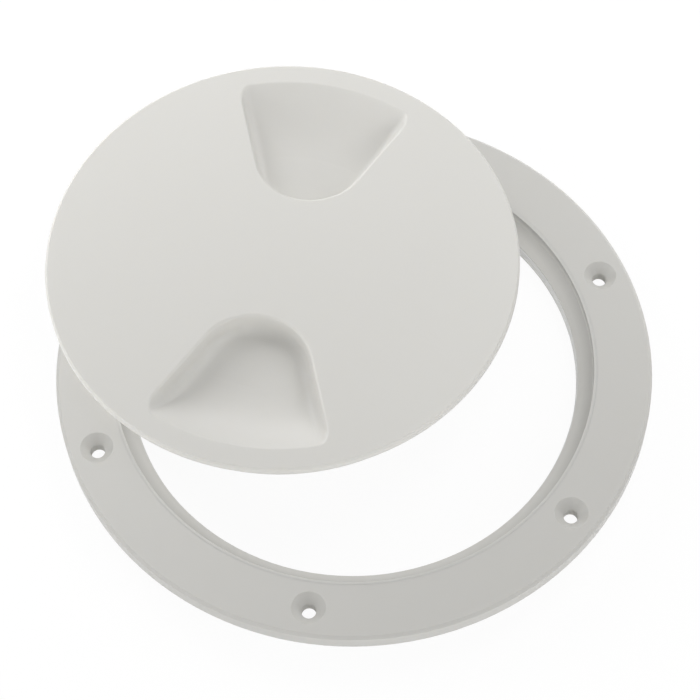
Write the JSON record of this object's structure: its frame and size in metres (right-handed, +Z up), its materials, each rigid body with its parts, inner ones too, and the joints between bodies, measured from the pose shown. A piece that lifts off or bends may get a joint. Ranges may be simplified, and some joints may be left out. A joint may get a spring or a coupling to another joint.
{
  "type": "deck inspection plate",
  "caption": "Round plastic deck hatch: a screw-down ring with countersunk holes and a loose screw-in lid with scooped finger recesses lying on it.",
  "frame": {"origin": "on the ring's axis, in the face of the deck that the flange lies on", "axes": "+Z up, out of the deck, along the ring's axis; +X through one of the screw holes"},
  "size_m": [0.2, 0.2177, 0.0286],
  "materials": {
    "ring_plastic": "satin",
    "lid_plastic": "satin",
    "seal_rubber": "matte"
  },
  "bodies": {
    "frame": {"deck_ring": "ring_plastic"},
    "seal": {"sealing_ring": "seal_rubber"},
    "cover": {"lid": "lid_plastic"}
  },
  "joints": [
    {"name": "lid_lift", "type": "slide", "parent": "frame", "child": "seal", "axis": [0, 0, 1], "range_m": [0, 0.06]},
    {"name": "lid_turn", "type": "hinge", "parent": "seal", "child": "cover", "pos_m": [-0.01103, 0.03772, 0.0066], "axis": [0, 0, 1], "continuous": true}
  ]
}
